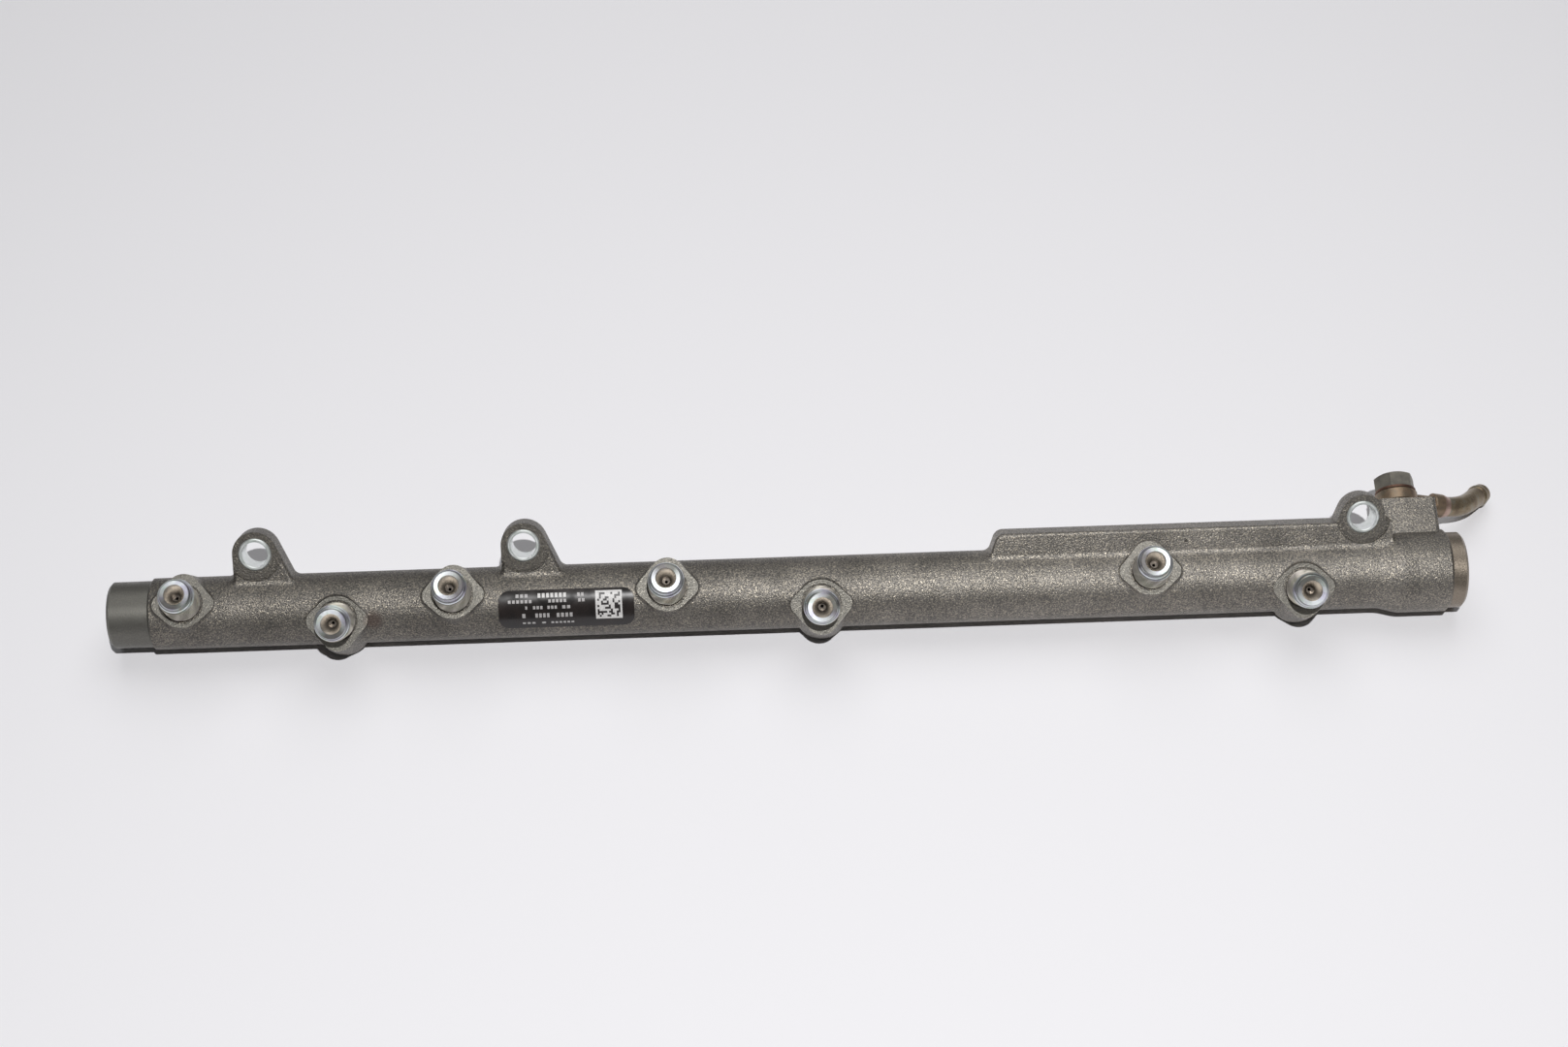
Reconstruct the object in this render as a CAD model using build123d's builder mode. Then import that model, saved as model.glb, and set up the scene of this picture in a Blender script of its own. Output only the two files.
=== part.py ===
from build123d import *
import math
import os

# Fuel rail of a six-cylinder engine, all sizes in millimetres.
# +X runs along the rail from the sensor end, +Z is up, and the rail lies as it would on a bench:
# on its thick end, its tube and the tip of its return pipe. The origin is the mouth of the sensor port.
# Directions round the rail are clock angles about +X: 0 is along the mounting bolts, and 90 is where
# the lugs stand.

lying_roll = -48.0              # clock 0 leans this far from +Z, towards -Y
press_clearance = 0.01          # radial, between a pressed piece and its bore
slip_clearance = 0.05           # radial, between a screwed or brazed piece and its bore

# tube, turned at both ends
rail_length = 513.6
tube_d = 27.2
main_bore_d = 10.6
sensor_collar_d = 25.2
sensor_collar_length = 13.2
collar_step_length = 1.3
sensor_end_chamfer = 1.1
flare_d = 31.3
flare_run = 11.0                # length over which the tube swells to the thick end
flare_land = 17.6
flare_chamfer = 1.0
regulator_collar_d = 28.8
regulator_collar_length = 5.8
regulator_end_chamfer = 1.0

# ports in the two ends
sensor_port_d = 16.5            # tapping size of M18 x 1.5
sensor_port_depth = 14.0
sensor_seat_depth = 2.8
regulator_port_d = 20.4         # tapping size of M22 x 1.5
regulator_port_depth = 15.0
regulator_chamber_d = 18.6
regulator_chamber_depth = 24.0
regulator_seat_depth = 4.0

# high-pressure connectors: two rows, one for each side of a cylinder pair
pair_pitch = 182.0
first_outlet_x = 29.3
second_outlet_offset = 57.7
inlet_offset = 101.4
upper_row_clock = 27.4
lower_row_clock = 8.4
lower_row_aside = -3.5          # the lower row misses the rail's axis by this much
pad_rise = 0.5                  # flat pads above the tube's outside
pad_half_length = 11.6          # shield-shaped pads: two tips along the rail,
pad_tip_r = 4.0
pad_near_r = 9.2                # a near end round the connector,
pad_far_reach = 11.7            # and a far end away from the tube's middle
pad_far_r = 6.5
pad_draft = 11.0
upper_boss_depth = 17.1         # how far down each row's drafted boss goes below its pad
lower_boss_depth = 20.1
boss_underside_r = 2.5
boss_blend_r = 1.5              # where a boss meets the tube
boss_margin = 2.0               # length of tube beyond the blend that each boss is made with
pad_recess_d = 15.4
pad_recess_depth = 1.0
seat_bore_d = 12.0
seat_depth = 6.7                # bottom of the connector's bore below the pad
cross_bore_d = 3.2

# screwed stubs of the connectors, with a throttle pressed into each
thread_d = 14.0
thread_root_d = 12.5
nose_d = 11.1
step_d = 12.4
connector_height = 14.7         # above the pad
nose_length = 0.9
nose_chamfer = 0.2
step_length = 0.9
thread_lead_length = 1.5
thread_runout_length = 1.2
cone_mouth_d = 7.5
cone_angle = 60.0
throat_d = 3.1
throttle_length = 6.0
throttle_depth = 6.2            # below the connector's top
throttle_hole_d = 1.2

# mounting lugs, with pressed sleeves; their outline is drawn as seen along the bolts
first_lug_x = 56.4
second_lug_x = 157.5
last_lug_from_end = 38.7
lug_height = 23.1               # bolt axis from the rail's axis
lug_r = 8.6
lug_front = 7.0                 # faces as forged, measured along clock 0 from the rail's axis
lug_back = -4.0
lug_edge = 1.6
lug_flank_angle = 66.0
lug_blend_r = 3.2               # where a lug meets the tube
spotface_depth = 1.0
spotface_d = 20.4
sleeve_d = 12.6
sleeve_bore_d = 9.6
sleeve_proud = 0.3              # beyond the spotface and the lug's back
sleeve_outer_chamfer = 0.6
sleeve_inner_chamfer = 0.3

# rib along the thick end, and the block for the return fitting
rib_length = 155.4              # to the block, from where its sloping end would meet the rail's axis
rib_top = 21.3                  # from the rail's axis; as thick as the lugs
rib_edge = 1.2
rib_nose_r = 4.0
rib_end_angle = 70.0
rib_overlap = 2.0               # how far the rib runs on into the block

block_left_reach = 9.2          # from the return bolt's axis
block_right_reach = 12.6
block_half_width = 10.4
block_edge = 1.8
return_clock = 126.0
return_from_end = 20.4          # the return bolt's axis
seat_distance = 26.2            # banjo seat from the rail's axis
return_thread_d = 10.0
return_tap_depth = 13.0
return_drill_d = 4.0

# banjo fitting, its bolt and washers, and the return pipe
washer_d = 15.6
washer_bore_d = 10.5
washer_thickness = 0.8
ring_d = 16.4
ring_thickness = 5.4
ring_bore_d = 11.2
ring_edge = 0.7
neck_d = 6.9
neck_bore_d = 4.0
neck_start = 7.9                # outside the washers; this and the next two from the bolt's axis
neck_angle = 20.0               # turned about the bolt from the rail's direction, down towards the bench
socket_d = 9.3
socket_start = 15.4
socket_end = 20.0
socket_grip = 3.4               # length of pipe held inside
socket_edge = 0.5
bolt_head_af = 13.8
bolt_head_height = 6.0
bolt_head_chamfer_d = 13.2
bolt_head_chamfer_angle = 30.0
bolt_shank_length = 19.0
bolt_bore_d = 5.0
bolt_cross_hole_d = 3.5
bolt_groove_d = 8.4             # lets the fuel run round the shank inside the ring
bolt_groove_width = 3.6
bolt_tip_chamfer = 0.8
bolt_turn = 8.0                 # how far the hexagon is turned
pipe_d = 7.8
pipe_bore_d = 5.8
pipe_bend_reach = 28.5          # its corner from the bolt's axis, along the neck
pipe_bend_r = 24.0
pipe_tip_reach = 39.4           # its open end from the bolt's axis, along the rail,
pipe_tip_y = 44.2               # and from the rail's axis
bead_d = 8.8
bead_length = 2.6
bead_from_tip = 3.4

# data plate: a thin label round the tube
label_length = 51.0
label_arc = 15.5
label_corner_r = 4.2
label_thickness = 0.15
label_x = 173.1
label_clock = -1.0

tube_r = tube_d / 2
pad_height = tube_r + pad_rise  # this and the next one from the rail's axis
seat_height = pad_height - seat_depth
return_x = rail_length - return_from_end
block_left_x = return_x - block_left_reach
block_right_x = return_x + block_right_reach
rib_foot_x = block_left_x - rib_length
lug_xs = (first_lug_x, second_lug_x, rail_length - last_lug_from_end)
flare_end_x = rail_length - regulator_collar_length
flare_full_x = flare_end_x - flare_land
flare_start_x = flare_full_x - flare_run
connector_top = pad_height + connector_height
recess_floor = pad_height - pad_recess_depth
thread_end = connector_top - nose_length - step_length
throttle_top = connector_top - throttle_depth
ring_middle = seat_distance + washer_thickness + ring_thickness / 2
bolt_head_seat = seat_distance + 2 * washer_thickness + ring_thickness
bench_z = -flare_d / 2


def clock_plane(x, clock, height=0.0, aside=0.0):
    """Plane at station x that faces outwards at a clock angle, its own y towards larger angles."""
    lean = math.radians(clock + lying_roll)
    outward = Vector(0, math.sin(lean), math.cos(lean))
    sideways = Vector(0, math.cos(lean), -math.sin(lean))
    origin = Vector(x, 0, 0) + outward * height + sideways * aside
    return Plane(origin=origin, x_dir=(1, 0, 0), z_dir=outward)


def upright_plane(base):
    """Plane through a plane's normal, its own y along that normal, for sections of turned pieces."""
    return Plane(origin=base.origin, x_dir=base.x_dir, z_dir=base.x_dir.cross(base.z_dir))


def normal_axis(plane):
    return Axis(plane.origin, plane.z_dir)


def lies_on_tube(edge):
    """True for an edge where something meets the tube's plain outside."""
    points = [edge.position_at(u) for u in (0.1, 0.5, 0.9)]
    return all(abs(math.hypot(point.Y, point.Z) - tube_r) < 0.02 for point in points)


upper_row = [first_outlet_x + pair_pitch * i for i in range(3)] + [first_outlet_x + inlet_offset]
lower_row = [first_outlet_x + second_outlet_offset + pair_pitch * i for i in range(3)]
stations = sorted(
    [(x, upper_row_clock, 0.0) for x in upper_row]
    + [(x, lower_row_clock, lower_row_aside) for x in lower_row]
)
turning_plane = Plane(origin=(0, 0, 0), x_dir=(1, 0, 0), z_dir=(0, 1, 0))
banjo_seat = clock_plane(return_x, return_clock, seat_distance)
os.makedirs("parts", exist_ok=True)


def save(piece, name):
    """Write one finished piece under its name."""
    piece.part.label = name
    export_step(piece.part, f"parts/{name}.step")


# forged bosses with shield-shaped pads
def pad_outline(growth):
    """Outline round four circles, grown by the draft, with its far end along +Y."""
    corners = [
        (Vector(pad_half_length - pad_tip_r, 0), pad_tip_r + growth),
        (Vector(0, pad_far_reach - pad_far_r), pad_far_r + growth),
        (Vector(pad_tip_r - pad_half_length, 0), pad_tip_r + growth),
        (Vector(0, 0), pad_near_r + growth),
    ]
    normals = []
    for (here, r), (there, next_r) in zip(corners, corners[1:] + corners[:1]):
        run = there - here
        normals.append(math.degrees(math.atan2(run.Y, run.X) - math.acos((r - next_r) / run.length)))
    with BuildLine() as outline:
        for i, (centre, r) in enumerate(corners):
            CenterArc(centre, r, normals[i - 1], (normals[i] - normals[i - 1]) % 360)
        arcs = outline.edges()
        for arc, after in zip(arcs, arcs[1:] + arcs[:1]):
            Line(arc @ 1, after @ 0)
    return outline.line


def drafted_boss(depth, turned):
    """Boss above the origin's axis plane, its pad on top and its edge below rounded."""
    with BuildPart() as boss:
        with BuildSketch(Plane.XY.offset(pad_height - depth)):
            add(pad_outline(depth * math.tan(math.radians(pad_draft))))
            make_face()
            if turned:
                mirror(about=Plane.XZ, mode=Mode.REPLACE)
        extrude(amount=depth, taper=pad_draft)
        fillet(boss.edges().group_by(Axis.Z)[0], boss_underside_r)
    return boss.part


def forged_boss(x, clock, aside):
    """Boss at its station, blended into its own short length of tube."""
    lower = clock == lower_row_clock
    depth = lower_boss_depth if lower else upper_boss_depth
    half_length = pad_half_length + depth * math.tan(math.radians(pad_draft)) + boss_blend_r + boss_margin
    with BuildPart() as boss:
        with BuildSketch(turning_plane):
            with Locations((x, tube_r / 2)):
                Rectangle(2 * half_length, tube_r)
        revolve(axis=Axis.X)
        with Locations(clock_plane(x, clock, 0, aside)):
            add(drafted_boss(depth, turned=lower))
        roots = boss.edges().filter_by(lies_on_tube)
        roots = roots.filter_by_position(Axis.X, x - half_length, x + half_length, inclusive=(False, False))
        fillet(roots, boss_blend_r)
    return boss.part


# a lug seen along its bolt has one upright flank and one sloping; the last lug is the mirror of the others
def forged_lug(x, turned):
    face = clock_plane(x, 0)
    slope = math.radians(lug_flank_angle)
    touch = (lug_r * math.sin(slope), lug_height + lug_r * math.cos(slope))
    with BuildPart() as lug:
        with BuildSketch(face.offset(lug_back)):
            with BuildLine():
                foot = (touch[0] + touch[1] / math.tan(slope), 0)
                Polyline(touch, foot, (-lug_r, 0), (-lug_r, lug_height))
                ThreePointArc((-lug_r, lug_height), (0, lug_height + lug_r), touch)
            make_face()
        extrude(amount=lug_front - lug_back)
        if turned:
            mirror(about=Plane(origin=face.origin, z_dir=(1, 0, 0)), mode=Mode.REPLACE)
        rims = lug.edges().filter_by(lambda edge: abs(edge.tangent_at(0.5).dot(face.z_dir)) < 0.1)
        fillet(rims.filter_by(lambda edge: face.to_local_coords(edge.center()).Y > 1), lug_edge)
    return lug.part


with BuildPart() as rib:
    rib_face = clock_plane(0, 0)
    with BuildSketch(rib_face.offset(lug_back)):
        with BuildLine():
            rib_nose_x = rib_foot_x + rib_top / math.tan(math.radians(rib_end_angle))
            rib_end_x = block_left_x + rib_overlap
            back_of_rib = FilletPolyline((rib_foot_x, 0), (rib_nose_x, rib_top), (rib_end_x, rib_top),
                                         radius=rib_nose_r)
            Polyline(back_of_rib @ 1, (rib_end_x, 0), (rib_foot_x, 0))
        make_face()
    extrude(amount=lug_front - lug_back)
    rib_rims = rib.edges().filter_by(lambda edge: abs(edge.tangent_at(0.5).dot(rib_face.z_dir)) < 0.1)
    rib_rims = rib_rims.filter_by(lambda edge: rib_face.to_local_coords(edge.center()).Y > 1)
    fillet(rib_rims.sort_by(Axis.X)[:-2], rib_edge)

with BuildPart() as block:
    with BuildSketch(clock_plane((block_left_x + block_right_x) / 2, return_clock)):
        Rectangle(block_right_x - block_left_x, 2 * block_half_width)
    extrude(amount=seat_distance)
    fillet(block.edges().filter_by(normal_axis(banjo_seat)), block_edge)

# the rail: turned outside, bosses, lugs, rib and block forged on, then bored
with BuildPart() as rail_body:
    with BuildSketch(turning_plane):
        with BuildLine():
            sensor_side = Polyline(
                (0, 0),
                (0, sensor_collar_d / 2 - sensor_end_chamfer),
                (sensor_end_chamfer, sensor_collar_d / 2),
                (sensor_collar_length, sensor_collar_d / 2),
                (sensor_collar_length + collar_step_length, tube_r),
                (flare_start_x, tube_r),
            )
            swell = Spline(sensor_side @ 1, (flare_full_x, flare_d / 2), tangents=[(1, 0), (1, 0)])
            Polyline(
                swell @ 1,
                (flare_end_x - flare_chamfer, flare_d / 2),
                (flare_end_x, flare_d / 2 - flare_chamfer),
                (flare_end_x, regulator_collar_d / 2),
                (rail_length - regulator_end_chamfer, regulator_collar_d / 2),
                (rail_length, regulator_collar_d / 2 - regulator_end_chamfer),
                (rail_length, 0),
                (0, 0),
            )
        make_face()
    revolve(axis=Axis.X)
    turned_edges = edges()

    for lug_x in lug_xs[:2]:
        add(forged_lug(lug_x, turned=False))
    add(rib.part)
    add(forged_lug(lug_xs[2], turned=True))
    lug_roots = edges().filter_by(lies_on_tube)
    lug_roots = lug_roots.filter_by_position(Axis.X, sensor_collar_length, flare_start_x)
    fillet(lug_roots.filter_by(lambda edge: edge not in turned_edges), lug_blend_r)
    add(block.part)

    for boss_x, clock, aside in stations:
        add(forged_boss(boss_x, clock, aside))

    with BuildSketch(turning_plane):
        with BuildLine():
            Polyline(
                (0, 0),
                (0, sensor_port_d / 2),
                (sensor_port_depth, sensor_port_d / 2),
                (sensor_port_depth + sensor_seat_depth, main_bore_d / 2),
                (rail_length - regulator_chamber_depth - regulator_seat_depth, main_bore_d / 2),
                (rail_length - regulator_chamber_depth, regulator_chamber_d / 2),
                (rail_length - regulator_port_depth, regulator_chamber_d / 2),
                (rail_length - regulator_port_depth, regulator_port_d / 2),
                (rail_length, regulator_port_d / 2),
                (rail_length, 0),
                close=True,
            )
        make_face()
    revolve(axis=Axis.X, mode=Mode.SUBTRACT)

    for boss_x, clock, aside in stations:
        with Locations(clock_plane(boss_x, clock, pad_height, aside)):
            CounterBoreHole(seat_bore_d / 2, pad_recess_d / 2, pad_recess_depth, pad_height - seat_height)
            Hole(cross_bore_d / 2, depth=pad_height)
    for lug_x in lug_xs:
        with Locations(clock_plane(lug_x, 0, lug_front, lug_height)):
            CounterBoreHole(sleeve_d / 2 + press_clearance, spotface_d / 2, spotface_depth,
                            2 * (lug_front - lug_back))
    with Locations(banjo_seat):
        Hole(return_thread_d / 2 + slip_clearance, depth=return_tap_depth)
        Hole(return_drill_d / 2, depth=seat_distance)

save(rail_body, "rail_body")


# connectors: turned stubs with a cone for the pipe's nipple, numbered from the sensor end
def connector_section(base):
    """Half section from the seat's bottom up, at its place in the boss."""
    cone_depth = (cone_mouth_d - throat_d) / 2 / math.tan(math.radians(cone_angle / 2))
    with BuildSketch(upright_plane(base)) as section:
        with BuildLine():
            Polyline(
                (throat_d / 2, seat_height),
                (seat_bore_d / 2 - slip_clearance, seat_height),
                (seat_bore_d / 2 - slip_clearance, recess_floor),
                (thread_root_d / 2, recess_floor),
                (thread_root_d / 2, recess_floor + thread_runout_length),
                (thread_d / 2, recess_floor + thread_runout_length + (thread_d - thread_root_d) / 2),
                (thread_d / 2, thread_end - thread_lead_length),
                (step_d / 2, thread_end),
                (step_d / 2, thread_end + step_length - (step_d - nose_d) / 2),
                (nose_d / 2, thread_end + step_length),
                (nose_d / 2, connector_top - nose_chamfer),
                (nose_d / 2 - nose_chamfer, connector_top),
                (cone_mouth_d / 2, connector_top),
                (throat_d / 2, connector_top - cone_depth),
                close=True,
            )
        make_face()
    return section.sketch


for number, (x, clock, aside) in enumerate(stations, start=1):
    base = clock_plane(x, clock, 0, aside)
    with BuildPart() as pressure_connector:
        revolve(connector_section(base), axis=normal_axis(base))
    save(pressure_connector, f"pressure_connector_{number}")

    with BuildPart() as throttle_insert:
        with BuildSketch(base.offset(throttle_top - throttle_length)):
            Circle(throat_d / 2 - press_clearance)
            Circle(throttle_hole_d / 2, mode=Mode.SUBTRACT)
        extrude(amount=throttle_length)
    save(throttle_insert, f"throttle_insert_{number}")

for side, lug_x in zip(("left", "middle", "right"), lug_xs):
    with BuildPart() as mounting_sleeve:
        with BuildSketch(clock_plane(lug_x, 0, lug_back - sleeve_proud, lug_height)):
            Circle(sleeve_d / 2)
            Circle(sleeve_bore_d / 2, mode=Mode.SUBTRACT)
        extrude(amount=lug_front - spotface_depth - lug_back + 2 * sleeve_proud)
        rims = mounting_sleeve.edges().filter_by(GeomType.CIRCLE)
        rims = rims.sort_by(lambda edge: edge.radius)
        chamfer(rims[:2], sleeve_inner_chamfer)
        chamfer(rims[2:], sleeve_outer_chamfer)
    save(mounting_sleeve, f"mounting_sleeve_{side}")

# return fitting: banjo ring between two soft washers, held by its hollow bolt
for place, height in (("seat", seat_distance), ("head", seat_distance + washer_thickness + ring_thickness)):
    with BuildPart() as sealing_washer:
        with BuildSketch(clock_plane(return_x, return_clock, height)):
            Circle(washer_d / 2)
            Circle(washer_bore_d / 2, mode=Mode.SUBTRACT)
        extrude(amount=washer_thickness)
    save(sealing_washer, f"sealing_washer_{place}")

ring_plane = clock_plane(return_x, return_clock, ring_middle)
neck_lean = math.radians(neck_angle)
neck_direction = ring_plane.x_dir * math.cos(neck_lean) + ring_plane.y_dir * math.sin(neck_lean)
neck_plane = Plane(origin=ring_plane.origin, x_dir=ring_plane.z_dir, z_dir=neck_direction)

with BuildPart() as banjo_fitting:
    with BuildSketch(ring_plane.offset(-ring_thickness / 2)):
        Circle(ring_d / 2)
    extrude(amount=ring_thickness)
    chamfer(banjo_fitting.edges().filter_by(GeomType.CIRCLE), ring_edge)
    with BuildSketch(neck_plane.offset(neck_start)):
        Circle(neck_d / 2)
    extrude(amount=socket_start - neck_start)
    with BuildSketch(neck_plane.offset(socket_start)):
        Circle(socket_d / 2)
    socket = extrude(amount=socket_end - socket_start)
    chamfer(socket.edges().filter_by(GeomType.CIRCLE), socket_edge)
    with Locations(ring_plane):
        Hole(ring_bore_d / 2, depth=ring_thickness)
    with BuildSketch(neck_plane):
        Circle(neck_bore_d / 2)
    extrude(amount=socket_end, mode=Mode.SUBTRACT)
    with BuildSketch(neck_plane.offset(socket_end - socket_grip)):
        Circle(pipe_d / 2 + slip_clearance)
    extrude(amount=socket_grip, mode=Mode.SUBTRACT)
save(banjo_fitting, "banjo_fitting")

with BuildPart() as banjo_bolt:
    head_plane = clock_plane(return_x, return_clock, bolt_head_seat)
    corner_r = bolt_head_af / math.sqrt(3)
    crown_drop = (corner_r - bolt_head_chamfer_d / 2) * math.tan(math.radians(bolt_head_chamfer_angle))
    with BuildSketch(head_plane):
        RegularPolygon(bolt_head_af / 2, 6, major_radius=False, rotation=bolt_turn)
    extrude(amount=bolt_head_height)
    with BuildSketch(upright_plane(head_plane)):
        with BuildLine():
            Polyline(
                (0, 0),
                (corner_r, 0),
                (corner_r, bolt_head_height - crown_drop),
                (bolt_head_chamfer_d / 2, bolt_head_height),
                (0, bolt_head_height),
                close=True,
            )
        make_face()
    revolve(axis=normal_axis(head_plane), mode=Mode.INTERSECT)
    with BuildSketch(upright_plane(head_plane)):
        with BuildLine():
            groove_top = ring_middle - bolt_head_seat + bolt_groove_width / 2
            Polyline(
                (0, 0),
                (return_thread_d / 2, 0),
                (return_thread_d / 2, groove_top),
                (bolt_groove_d / 2, groove_top),
                (bolt_groove_d / 2, groove_top - bolt_groove_width),
                (return_thread_d / 2, groove_top - bolt_groove_width),
                (return_thread_d / 2, bolt_tip_chamfer - bolt_shank_length),
                (return_thread_d / 2 - bolt_tip_chamfer, -bolt_shank_length),
                (0, -bolt_shank_length),
                close=True,
            )
        make_face()
    revolve(axis=normal_axis(head_plane))
    with Locations(neck_plane):
        Hole(bolt_cross_hole_d / 2, depth=return_thread_d)
    with BuildSketch(head_plane.offset(-bolt_shank_length)):
        Circle(bolt_bore_d / 2)
    bore_top = ring_middle - bolt_head_seat + bolt_cross_hole_d / 2
    extrude(amount=bolt_shank_length + bore_top, mode=Mode.SUBTRACT)
save(banjo_bolt, "banjo_bolt")

# return pipe: brazed into the socket, bent once, with a bead for the hose behind its open end
pipe_start = neck_plane.origin + neck_direction * (socket_end - socket_grip)
pipe_corner = neck_plane.origin + neck_direction * pipe_bend_reach
pipe_end = Vector(return_x + pipe_tip_reach, pipe_tip_y, bench_z + pipe_d / 2)

with BuildPart() as return_pipe:
    with BuildLine() as route:
        FilletPolyline(pipe_start, pipe_corner, pipe_end, radius=pipe_bend_r)
    tip_plane = Plane(origin=route.line @ 1, z_dir=route.line % 1)
    with BuildSketch(Plane(origin=route.line @ 0, z_dir=route.line % 0)):
        Circle(pipe_d / 2)
        Circle(pipe_bore_d / 2, mode=Mode.SUBTRACT)
    sweep(path=route.line)
    with BuildSketch(upright_plane(tip_plane.offset(-bead_from_tip))):
        with BuildLine():
            half_bead = bead_length / 2
            bulge = ThreePointArc((pipe_d / 2, -half_bead), (bead_d / 2, 0), (pipe_d / 2, half_bead))
            inside = (pipe_d + pipe_bore_d) / 4
            Polyline(bulge @ 1, (inside, half_bead), (inside, -half_bead), bulge @ 0)
        make_face()
    revolve(axis=normal_axis(tip_plane))
save(return_pipe, "return_pipe")

with BuildPart() as data_label:
    with BuildSketch(Plane.YZ.offset(label_x)):
        Circle(tube_r + label_thickness)
        Circle(tube_r, mode=Mode.SUBTRACT)
    extrude(amount=label_length, both=True)
    with BuildSketch(clock_plane(label_x, label_clock)):
        RectangleRounded(label_length, 2 * tube_r * math.sin(label_arc / 2 / tube_r), label_corner_r)
    extrude(amount=tube_d, mode=Mode.INTERSECT)
save(data_label, "data_label")
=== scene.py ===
import math
import bmesh
import bpy
from mathutils import Matrix, Quaternion, Vector


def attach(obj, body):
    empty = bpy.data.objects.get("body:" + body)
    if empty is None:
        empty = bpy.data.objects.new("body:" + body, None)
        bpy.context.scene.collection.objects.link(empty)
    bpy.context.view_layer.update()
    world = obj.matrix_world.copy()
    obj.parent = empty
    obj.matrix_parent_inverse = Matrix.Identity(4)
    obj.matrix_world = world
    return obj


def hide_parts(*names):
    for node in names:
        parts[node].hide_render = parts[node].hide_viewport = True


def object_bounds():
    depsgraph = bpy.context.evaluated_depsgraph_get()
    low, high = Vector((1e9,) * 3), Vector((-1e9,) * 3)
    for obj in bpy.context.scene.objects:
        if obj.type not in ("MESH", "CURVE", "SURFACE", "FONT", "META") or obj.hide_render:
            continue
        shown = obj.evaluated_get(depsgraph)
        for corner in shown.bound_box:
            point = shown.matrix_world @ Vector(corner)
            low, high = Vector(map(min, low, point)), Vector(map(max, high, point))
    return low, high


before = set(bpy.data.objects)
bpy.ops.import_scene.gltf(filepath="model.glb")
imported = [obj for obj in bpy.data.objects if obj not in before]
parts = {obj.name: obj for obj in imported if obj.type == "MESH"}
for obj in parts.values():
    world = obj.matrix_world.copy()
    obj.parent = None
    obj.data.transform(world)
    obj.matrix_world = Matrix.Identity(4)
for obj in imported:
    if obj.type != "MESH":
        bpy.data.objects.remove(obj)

# A fuel rail lying on a pale table, +X along it from its sensor end. Sizes are in mm, angles in degrees.
# Directions round the rail are clock angles about +X: 0 along the mounting bolts, 90 towards the lugs.
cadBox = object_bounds()
mm = 0.001
noiseLow, noiseHigh = 0.3, 0.7    # nearly all values of a noise texture lie between these

rail = {
    "lyingRoll": -48.0,          # clock 0 leans this far from straight up
    "tubeRadius": 13.6,
    "padHeight": 14.1,
    "upperClock": 27.4,          # the two rows of connectors
    "lowerClock": 8.4,
    "lowerAside": -3.5,          # the lower row misses the rail's axis by this much
    "upperStations": (29.3, 130.7, 211.3, 393.3),
    "lowerStations": (87.0, 269.0, 451.0),
    "boltClock": 0.0,
    "spotfaceHeight": 6.0,
    "collarEnds": (16.4, 507.8),   # turned smooth as far as here, and from here on
    "returnX": 493.2,
    "returnClock": 126.0,
}


def clockAxes(clock):
    lean = math.radians(clock + rail["lyingRoll"])
    outward = Vector((0, math.sin(lean), math.cos(lean)))
    return outward, Vector((0, outward.z, -outward.y))       # outwards, and towards larger clock angles


def linearColour(code):
    channels = [int(code[i:i + 2], 16) / 255 for i in (1, 3, 5)]
    return [c / 12.92 if c <= 0.04045 else ((c + 0.055) / 1.055) ** 2.4 for c in channels] + [1.0]


def addNode(tree, kind, inputs=None, stops=None, **settings):
    made = tree.nodes.new(kind)
    for name, value in settings.items():
        setattr(made, name, value)
    for name, value in (inputs or {}).items():
        if isinstance(value, bpy.types.Node):
            value = next(socket for socket in value.outputs if socket.enabled)
        if isinstance(value, bpy.types.NodeSocket):
            tree.links.new(value, made.inputs[name])
        else:
            made.inputs[name].default_value = value
    if stops:
        elements = made.color_ramp.elements
        while len(elements) < len(stops):
            elements.new(1.0)
        for element, (place, colour) in zip(elements, stops):
            element.position = place
            element.color = linearColour(colour)
    return made


def newMaterial(name):
    material = bpy.data.materials.new(name)
    material.use_nodes = True
    tree = material.node_tree
    tree.nodes.clear()
    return material, tree


forging = {
    "grain": 0.60,               # pits left by shot blasting, coarser than real so that they show
    "fineGrain": 0.32,
    "grainShare": 0.6,           # of the coarse pits against the fine ones
    "tones": [(0.34, "#4c4a48"), (0.50, "#66635f"), (0.66, "#9c9486")],      # from the pits to their rims
    "patches": 16.0,             # cloudy light and dark
    "patchShades": (0.78, 1.14),
    "paintedLightAlong": ((130.0, 0.98), (420.0, 1.42)),     # painted light: the colour grows paler towards the thick end, where the highlight is brighter: (place along, share)
    "milled": ("#73716b", 0.7),  # colour, and how far it covers the forging's own
    "paintedSeatShade": ("#524f4a", 0.5),   # spotfaces of the lugs, darkened as painted shade in their recess
    "leftCollar": ("#6c6b66", 0.85),
    "rightCollar": ("#8b8073", 0.85),
    "padLevel": 0.2,             # how near a pad's level a milled face lies,
    "flatWithin": 0.99,          # and the cosine of how far it may lean
    # painted shade in the hollows: how far it looks, how dark it gets, and over what openness
    "paintedShadeReach": 3.0,
    "paintedShadeLevel": 0.7,
    "paintedShadeRange": (0.35, 0.85),   # openness of the ground, from full shade to none
    "spots": [                   # place, radius, colour, strength
        ((100.5, -11.4, 7.4), 4.5, "#5a453d", 0.45),
        # the next two are painted shade of small pits on the rib
        ((388.5, 3.7, 14.6), 1.1, "#1f1d1b", 0.9),
        ((407.6, 5.8, 16.9), 0.8, "#1f1d1b", 0.8),
    ],
    "spotCore": 0.4,             # share of the radius at full strength
    "bumpDepth": 0.33,
    "turnedSmoother": 0.75,      # the collars' and the milled faces' loss of bump
    "milledSmoother": 0.25,
    "roughness": (0.57, 0.31),   # pits and rims,
    "glossRange": (0.35, 0.65),  # and the grain's values there
    "rightCollarPolish": 0.10,
    "metallic": 0.9,
}


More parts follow.
